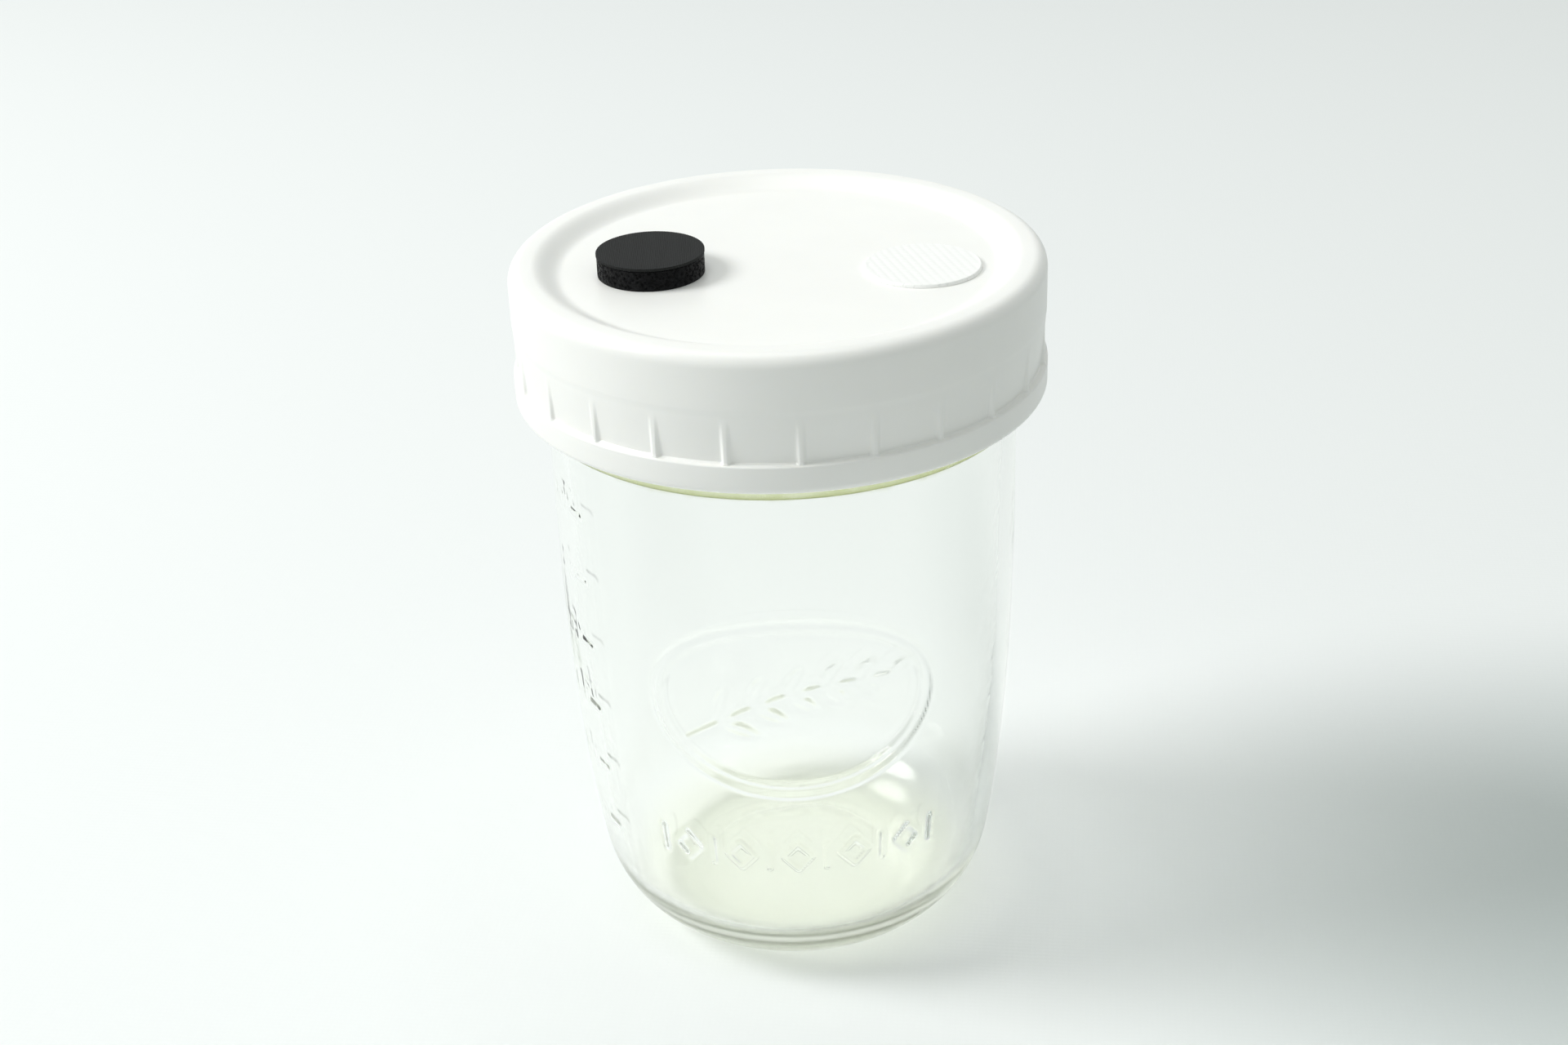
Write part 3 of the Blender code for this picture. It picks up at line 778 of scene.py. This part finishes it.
def glass_material():
    """Clear pressed glass that tints with depth, with a softly tinted heel and an olive bead whose colour
    is partly painted shade from the cap's skirt above it.
    """
    material, shader, place = start_material("clear_glass", 0.0)
    tree = material.node_tree
    shader.inputs["Transmission Weight"].default_value = 1.0
    shader.inputs["IOR"].default_value = 1.5
    grain = add_group(tree, "moulded_grain", grain_group, place, 160.0, 55.0)
    height = add(tree, "SeparateXYZ", (-900, 300))
    tree.links.new(place, height.inputs["Vector"])
    bands = add(tree, "ValToRGB", (-500, 300))
    clear = shade(finishes().glass, 1)
    stops = bands.color_ramp.elements
    stops[0].color, stops[1].color = HEEL_TINT, clear
    # Colour bands up the glass: a pale tint in the thick heel, and at the bead an olive tint darkened as
    # painted shade under the cap's skirt
    for z, tone in ((4, HEEL_TINT), (10, clear), (101.4, clear), (102.4, BEAD_TINT_AND_SHADE), (105.2, BEAD_TINT_AND_SHADE),
                    (106, clear)):
        stops.new(z / JAR_TOP).color = tone
    level = add(tree, "Math", (-700, 300), operation="MULTIPLY_ADD")
    level.inputs[1].default_value = 1000 / JAR_TOP
    tree.links.new(height.outputs["Z"], level.inputs[0])
    tree.links.new(spread(tree, grain["Height"], -0.012, 0.012), level.inputs[2])
    tree.links.new(level.outputs["Value"], bands.inputs["Fac"])
    tree.links.new(bands.outputs["Color"], shader.inputs["Base Color"])
    soft_heel = add(tree, "MapRange", (-500, -100), From_Min=SOFT_UP_TO, From_Max=CLEAR_FROM,
                    To_Min=HEEL_SOFTNESS, To_Max=0.0)
    tree.links.new(height.outputs["Z"], soft_heel.inputs["Value"])
    shine = add(tree, "Math", (-200, 0), operation="ADD")
    tree.links.new(spread(tree, grain["Mottle"], 0.0, 0.03), shine.inputs[0])
    tree.links.new(soft_heel.outputs["Result"], shine.inputs[1])
    tree.links.new(shine.outputs["Value"], shader.inputs["Roughness"])
    tree.links.new(bump(tree, grain["Height"], 0.04, 0.0004), shader.inputs["Normal"])

    depth = add(tree, "VolumeAbsorption", (400, 0), Density=3.2, Color=(*finishes().glass_depth, 1))
    tree.links.new(depth.outputs["Volume"], tree.nodes["Material Output"].inputs["Volume"])
    return material


# Pieces

def place_on_cap(piece, low, high, height=0.0):
    """Move a round piece's mesh to the middle of its solid's place on the cap."""
    piece.data.transform(Matrix.Translation(((low.x + high.x) / 2, (low.y + high.y) / 2, height)))
    piece.data.update()
    if "zone" in piece.data.attributes:
        piece.data.attributes.remove(piece.data.attributes["zone"])


def finish_film(node, colour, contrast):
    """Give the solid of an adhesive ring its film."""
    film = grained_material(
        node + "_film", colour, 0.5, fine=1500, broad=260, depth=0.00002, contrast=contrast)[0]
    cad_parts[node].data.materials.clear()
    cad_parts[node].data.materials.append(film)


class CULTUREJAR_OT_jar(Operator):
    """Build the pressed glass jar with its relief, marks and thread"""
    bl_idname = "culture_jar.jar"
    bl_label = "Glass jar"

    def execute(self, context):
        piece = make_piece("jar_glass", turned(jar_section(), jar_angles()), glass_material(),
                           "jar", "glass_jar")
        shape_jar(piece.data)
        piece.data.attributes.remove(piece.data.attributes["zone"])
        return {"FINISHED"}


class CULTUREJAR_OT_seal(Operator):
    """Build the silicone ring that seals the rim"""
    bl_idname = "culture_jar.seal"
    bl_label = "Seal"

    def execute(self, context):
        low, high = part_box("lid_gasket")
        outer, bottom, top = high.x / MM, low.z / MM, high.z / MM
        outline = rounded_box_section(outer - SEAL_WIDTH, outer, bottom, top, 0.4, 4)
        grooved = []
        for (r0, z0), (r1, z1) in zip(outline, outline[1:] + outline[:1]):
            grooved.append((r0, z0))
            if abs(z0 - z1) < 1e-6 and abs(r0 - r1) > 3:
                sink = -SEAL_GROOVE if z0 > (top + bottom) / 2 else SEAL_GROOVE
                for t in (0.28, 0.32, 0.40, 0.44, 0.56, 0.60, 0.68, 0.72):
                    deep = t in (0.32, 0.40, 0.60, 0.68)
                    grooved.append((r0 + (r1 - r0) * t, z0 + (sink if deep else 0)))
        material, shader = grained_material(
            "white_silicone", finishes().seal, 0.42, fine=3200, broad=140, depth=0.00002, contrast=0.03)
        shader.inputs["Subsurface Weight"].default_value = 0.15
        shader.inputs["Subsurface Radius"].default_value = (0.002, 0.002, 0.0016)
        make_piece("seal_ring", turned(zoned(grooved, PLAIN), even_angles(180), closed=True), material,
                   "seal", "lid_gasket")
        return {"FINISHED"}


class CULTUREJAR_OT_cap(Operator):
    """Build the ribbed screw cap with its thread, holes and seal keeper"""
    bl_idname = "culture_jar.cap"
    bl_label = "Screw cap"

    def execute(self, context):
        mesh = turned(cap_section(), cap_angles())
        close_cap(mesh)
        material, shader = grained_material(
            "white_polypropylene", finishes().cap, 0.36, fine=2600, broad=60, depth=0.00003,
            contrast=0.02, bump_strength=0.25)
        shader.inputs["Subsurface Weight"].default_value = 0.12
        shader.inputs["Subsurface Radius"].default_value = (0.0020, 0.0018, 0.0014)
        piece = make_piece("cap_shell", mesh, material, "cap", "screw_cap")
        shape_cap(piece.data)
        piece.data.set_sharp_from_angle(angle=radians(30))
        piece.data.attributes.remove(piece.data.attributes["zone"])
        return {"FINISHED"}


class CULTUREJAR_OT_port(Operator):
    """Build the foam injection port with its woven skin"""
    bl_idname = "culture_jar.port"
    bl_label = "Injection port"

    def execute(self, context):
        self.make_foam()
        self.make_skin()
        finish_film("port_adhesive", (0.62, 0.60, 0.52), 0.12)
        return {"FINISHED"}

    def make_foam(self):
        low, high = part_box("port_sponge")
        radius, bottom, top = (high.x - low.x) / 2 / MM, low.z / MM, high.z / MM
        foot = CAP_PANEL + STICKER_GAP
        side = [(radius - 0.06, top)] + [(radius, z) for z in heights(top - 0.06, foot + 0.06, 0.13)]
        skirt = [(radius - 0.06, foot), (radius - 0.2, foot), (radius - 0.2, bottom)]
        section = zoned([(0, top), (radius - 1.0, top)], PLAIN) + zoned(side, GRIP)
        section += zoned(skirt + [(radius - 1.0, bottom), (0, bottom)], PLAIN)
        foam, shader = grained_material(
            "black_foam", finishes().foam, 0.38, fine=2300, broad=1600, depth=0.0004, contrast=0.95,
            bump_strength=1.0)
        shader.inputs["Specular IOR Level"].default_value = 0.08
        piece = make_piece("port_foam", turned(section, even_angles(360)), foam, "cap",
                           "port_sponge", sharp_angle=radians(75))
        points, zones = read_points(piece.data), read_zones(piece.data)
        angle = np.arctan2(points[:, 1], points[:, 0])
        draw = np.random.RandomState(21)
        count = sizes().pore_count
        pore_u = draw.uniform(-pi, pi, count) * radius
        pore_z = draw.uniform(bottom, top, count)
        pore_size = draw.uniform(*PORE_SIZES, count)
        rows = np.nonzero(zones == GRIP)[0]
        across = np.abs(angle[rows, None] * radius - pore_u[None])
        across = np.minimum(across, 2 * pi * radius - across)
        apart = np.hypot(across, points[rows, 2][:, None] - pore_z[None]) / pore_size[None]
        pit = (smooth_step(1.3 - 1.3 * apart) * pore_size[None] / PORE_SIZES[1]).max(axis=1)
        change = np.zeros(len(points))
        change[rows] = -sizes().pore_depth / MM * pit
        move_radially(piece.data, points, change)
        place_on_cap(piece, low, high)

    def make_skin(self):
        low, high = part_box("port_skin")
        radius, thickness = (high.x - low.x) / 2 / MM - SIDE_CLEARANCE, (high.z - low.z) / MM
        mesh = clipped_grid(radius, RIB_PITCH / 4, RIB_PITCH)

        def ribs(x, y):
            rib = 0.5 + 0.5 * cos(2 * pi * x / RIB_PITCH)
            knot = 0.5 + 0.5 * cos(2 * pi * y / KNOT_PITCH + pi * (round(x / RIB_PITCH) % 2))
            return -RIB_DEPTH * (1 - rib * (0.85 + 0.15 * knot))

        disc_from_grid(mesh, thickness, 0.1, 0.0, ribs)
        skin, shader = woven_material(
            "black_woven_skin", finishes().skin, 0.72, (RIB_BANDS, RIB_BANDS), turn=0.0,
            depth=0.00006, contrast=0.5)
        shader.inputs["Specular IOR Level"].default_value = 0.22
        piece = make_piece("port_weave", mesh, skin, "cap", "port_skin")
        place_on_cap(piece, low, high, low.z)


class CULTUREJAR_OT_filter(Operator):
    """Build the pressed breathing filter"""
    bl_idname = "culture_jar.filter"
    bl_label = "Filter disc"

    def execute(self, context):
        low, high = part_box("filter_membrane")
        radius, thickness = (high.x - low.x) / 2 / MM - SIDE_CLEARANCE, (high.z - low.z) / MM
        top_radius = radius - FILTER_BEVEL
        mesh = clipped_grid(top_radius, 0.17, 0.17)

        def pressed(x, y):
            edge = min(1.0, max(0.0, (top_radius - (x * x + y * y) ** 0.5) / 0.4))
            a = (x * cos(FILTER_TURN) + y * sin(FILTER_TURN)) / CORD_PITCH
            b = (y * cos(FILTER_TURN) - x * sin(FILTER_TURN)) / CROSS_PITCH
            cord = abs(cos(pi * a)) ** 1.5
            cross = abs(cos(pi * b)) ** 1.5
            return -CORD_DEPTH * (1 - cord * (0.4 + 0.6 * cross)) * edge

        foot = low.z / MM - CAP_PANEL - STICKER_GAP
        disc_from_grid(mesh, thickness - FILTER_SINK, 0.12, foot, pressed, 1.011)
        cloth, shader = woven_material(
            "white_membrane", finishes().filter, 0.62, (CORD_BANDS, DOT_BANDS), turn=-FILTER_TURN,
            depth=0.00001, contrast=-0.10, centre=FILTER_PLACE * MM, low=0.5, high=0.8)
        shader.inputs["Sheen Weight"].default_value = 0.1
        piece = make_piece("filter_disc", mesh, cloth, "cap", "filter_membrane",
                           sharp_angle=radians(60))
        place_on_cap(piece, low, high, low.z)
        finish_film("filter_adhesive", (0.80, 0.80, 0.76), 0.08)
        return {"FINISHED"}


# Studio

PALE_ROOM = (0.90, 0.93, 0.92, 1)
CAMERA_PLACE = Vector((0.0, -0.37023270, 0.26623818))
CAMERA_RIGHT = Vector((0.99936973, -0.01521155, -0.03207423))
CAMERA_UP = Vector((0.03548220, 0.45546922, 0.88954416))
FOCAL_PIXELS = 2802.0
PICTURE_WIDTH = 1920
SENSOR_WIDTH = 36.0
LAMP_TARGET = (0, 0, 0.06)
WINDOW_PLACE, WINDOW_SIZE = (-1.65, -0.03, 1.42), 0.95
CEILING_PLACE, CEILING_SIZE = (-0.1, 0.15, 1.7), 1.2
FLOOR_SIZE = 3.0
FLOOR_DROP = 0.0001
# Place, stretch and tone of a soft shadow painted into the floor's colour at its right front
PAINTED_SHADOW_PLACE, PAINTED_SHADOW_STRETCH = (0.21, -0.025, 0), (0.625, 1, 1)
PAINTED_SHADOW_TONE = (0.70, 0.74, 0.73, 1)


def seen_directly(tree):
    """1 for the rays that see the room itself: camera rays, and those off gloss or through glass."""
    path = add(tree, "LightPath", (-800, 600))
    seen = path.outputs["Is Camera Ray"]
    for k, ray in enumerate(("Is Glossy Ray", "Is Transmission Ray")):
        either = add(tree, "Math", (200 * k - 600, 600), operation="MAXIMUM")
        tree.links.new(seen, either.inputs[0])
        tree.links.new(path.outputs[ray], either.inputs[1])
        seen = either.outputs["Value"]
    return seen


def by_distance(tree, near, far, centre=(0, 0, 0), scale=(1, 1, 1)):
    """0 within a distance in metres from a place on the floor, 1 beyond a larger one."""
    place = add(tree, "TexCoord", (-1000, -400))
    start = (-centre[0] * scale[0], -centre[1] * scale[1], 0)
    mapping = add(tree, "Mapping", (-800, -400), Location=start, Scale=scale)
    reach = add(tree, "VectorMath", (-600, -400), operation="LENGTH")
    fall = add(tree, "MapRange", (-400, -400), interpolation_type="SMOOTHSTEP", From_Min=near,
               From_Max=far)
    tree.links.new(place.outputs["Object"], mapping.inputs["Vector"])
    tree.links.new(mapping.outputs["Vector"], reach.inputs[0])
    tree.links.new(reach.outputs["Value"], fall.inputs["Value"])
    return fall.outputs["Result"]


class CULTUREJAR_OT_studio(Operator):
    """Build the floor, the soft lamps, the pale surroundings and the camera"""
    bl_idname = "culture_jar.studio"
    bl_label = "Studio"

    def execute(self, context):
        self.make_floor()
        self.make_world()
        self.make_lamp("window_light", WINDOW_PLACE, WINDOW_SIZE, finishes().lamp_power)
        self.make_lamp("ceiling_light", CEILING_PLACE, CEILING_SIZE, finishes().ceiling_power)
        self.make_camera()
        context.scene.view_settings.view_transform = "Standard"
        cycles = context.scene.cycles
        cycles.use_denoising = True
        cycles.max_bounces = 32
        cycles.transmission_bounces = 24
        cycles.glossy_bounces = 24
        cycles.blur_glossy = 0.0
        cycles.caustics_refractive = True
        return {"FINISHED"}

    def make_floor(self):
        mesh = bmesh.new()
        bmesh.ops.create_grid(mesh, x_segments=1, y_segments=1, size=FLOOR_SIZE)
        data = bpy.data.meshes.new("floor")
        mesh.to_mesh(data)
        mesh.free()
        floor = new_object("floor", data)
        floor.location = (0, 0, -FLOOR_DROP)
        material, shader = woven_material(
            "white_backdrop_cloth", finishes().floor, 0.8, (CLOTH_BANDS, CLOTH_BANDS),
            turn=radians(8), depth=0.00001, contrast=0.006)
        data.materials.append(material)
        # Painted shadow in the floor's colour, deepening the cap's cast shadow at the right front
        self.paint_floor_shadow(material.node_tree, shader)
        self.fade_far_floor(material.node_tree, shader)

    def paint_floor_shadow(self, tree, shader):
        """Paint a soft shadow into the cloth's colour at its right front, which deepens the cap's cast
        shadow there.
        """
        light = by_distance(tree, 0.03, 0.12, PAINTED_SHADOW_PLACE, PAINTED_SHADOW_STRETCH)
        painted_shadow_colour = add(tree, "VectorMath", (-200, 400), operation="MULTIPLY")
        tree.links.new(shader.inputs["Base Color"].links[0].from_socket, painted_shadow_colour.inputs[0])
        tree.links.new(tint(tree, light, PAINTED_SHADOW_TONE, (1, 1, 1, 1), 0, 1), painted_shadow_colour.inputs[1])
        tree.links.new(painted_shadow_colour.outputs["Vector"], shader.inputs["Base Color"])

    def fade_far_floor(self, tree, shader):
        """Let the far floor pass into the pale room without a line."""
        far = add(tree, "Math", (0, 600), operation="MULTIPLY")
        room = add(tree, "Emission", (200, 400), Color=PALE_ROOM, Strength=1.0)
        mix = add(tree, "MixShader", (400, 300))
        tree.links.new(by_distance(tree, 0.8, 2.0), far.inputs[0])
        tree.links.new(seen_directly(tree), far.inputs[1])
        tree.links.new(far.outputs["Value"], mix.inputs["Fac"])
        tree.links.new(shader.outputs["BSDF"], mix.inputs[1])
        tree.links.new(room.outputs["Emission"], mix.inputs[2])
        tree.links.new(mix.outputs["Shader"], tree.nodes["Material Output"].inputs["Surface"])

    def make_world(self):
        world = bpy.data.worlds.new("pale_room")
        world.use_nodes = True
        tree = world.node_tree
        tree.nodes.clear()
        light = add(tree, "Background", (0, 0), Color=(0.94, 1.0, 0.965, 1), Strength=0.41)
        shown = add(tree, "Background", (0, -200), Color=PALE_ROOM, Strength=1.0)
        mix = add(tree, "MixShader", (200, 0))
        out = add(tree, "OutputWorld", (400, 0))
        tree.links.new(seen_directly(tree), mix.inputs["Fac"])
        tree.links.new(light.outputs["Background"], mix.inputs[1])
        tree.links.new(shown.outputs["Background"], mix.inputs[2])
        tree.links.new(mix.outputs["Shader"], out.inputs["Surface"])
        bpy.context.scene.world = world

    def make_lamp(self, name, place, size, power):
        data = bpy.data.lights.new(name, "AREA")
        data.shape = "DISK"
        data.size = size
        data.energy = power
        lamp = new_object(name, data)
        lamp.location = place
        lamp.rotation_euler = (Vector(LAMP_TARGET) - Vector(place)).to_track_quat("-Z", "Y").to_euler()

    def make_camera(self):
        data = bpy.data.cameras.new("camera")
        data.sensor_width = SENSOR_WIDTH
        data.lens = FOCAL_PIXELS / PICTURE_WIDTH * SENSOR_WIDTH
        data.clip_start = 0.01
        camera = new_object("camera", data)
        back = CAMERA_RIGHT.cross(CAMERA_UP)
        turn = Matrix((CAMERA_RIGHT, CAMERA_UP, back)).transposed().to_4x4()
        camera.matrix_world = Matrix.Translation(CAMERA_PLACE) @ turn
        bpy.context.scene.camera = camera


class CULTUREJAR_PT_panel(Panel):
    """Sizes, finishes and builders of the culture jar"""
    bl_idname = "CULTUREJAR_PT_panel"
    bl_label = "Culture jar"
    bl_space_type = "VIEW_3D"
    bl_region_type = "UI"
    bl_category = "Culture jar"

    def draw(self, context):
        layout = self.layout
        for group in (context.scene.culture_jar_sizes, context.scene.culture_jar_finishes):
            box = layout.box()
            for name in group.__annotations__:
                box.prop(group, name)
        for builder in BUILDERS:
            layout.operator(builder.bl_idname)


BUILDERS = (CULTUREJAR_OT_jar, CULTUREJAR_OT_seal, CULTUREJAR_OT_cap, CULTUREJAR_OT_port,
            CULTUREJAR_OT_filter, CULTUREJAR_OT_studio)
CLASSES = (JarSizes, JarFinishes) + BUILDERS + (CULTUREJAR_PT_panel,)


def register():
    for cls in CLASSES:
        bpy.utils.register_class(cls)
    bpy.types.Scene.culture_jar_sizes = PointerProperty(type=JarSizes)
    bpy.types.Scene.culture_jar_finishes = PointerProperty(type=JarFinishes)


def unregister():
    del bpy.types.Scene.culture_jar_finishes
    del bpy.types.Scene.culture_jar_sizes
    for cls in reversed(CLASSES):
        bpy.utils.unregister_class(cls)


def main():
    register()
    bpy.ops.culture_jar.jar()
    bpy.ops.culture_jar.seal()
    bpy.ops.culture_jar.cap()
    bpy.ops.culture_jar.port()
    bpy.ops.culture_jar.filter()
    bpy.ops.culture_jar.studio()


if __name__ == "__main__":
    main()
